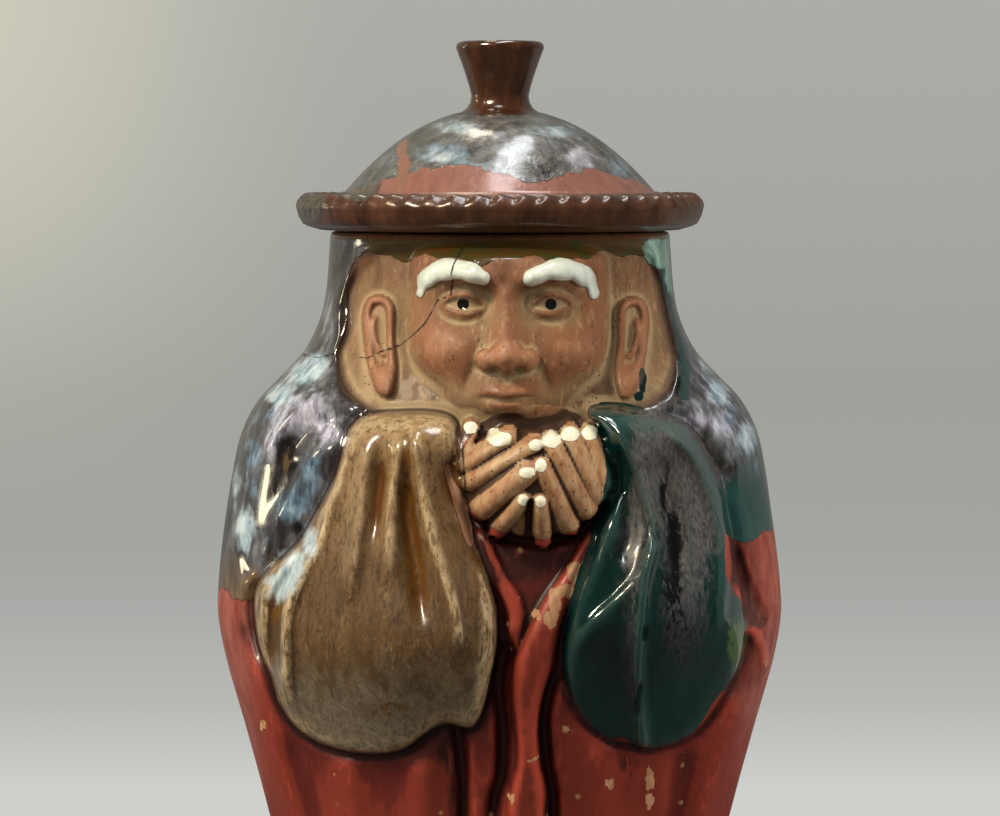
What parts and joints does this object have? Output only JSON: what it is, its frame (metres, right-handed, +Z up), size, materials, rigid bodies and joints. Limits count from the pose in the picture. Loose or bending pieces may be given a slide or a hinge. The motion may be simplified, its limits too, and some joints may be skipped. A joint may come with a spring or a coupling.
{
  "type": "lidded figural jar",
  "caption": "Hollow glazed stoneware jar shaped as a hooded, robed figure cupping its hands before its mouth, with a loose domed hat-like lid.",
  "frame": {"origin": "middle of the jar's flat underside", "axes": "+Z up through the lid's knob, the figure faces -Y, +X to the right of the picture"},
  "size_m": [0.1463, 0.1341, 0.2487],
  "materials": {
    "jar_ware": "satin red paint, bare flesh-toned clay and running brown, green and grey-blue glazes",
    "lid_glaze": "glossy iron-brown glaze with a blue-grey running glaze over the dome"
  },
  "bodies": {
    "root": {"jar": "jar_ware", "lid": "lid_glaze"}
  },
  "joints": []
}
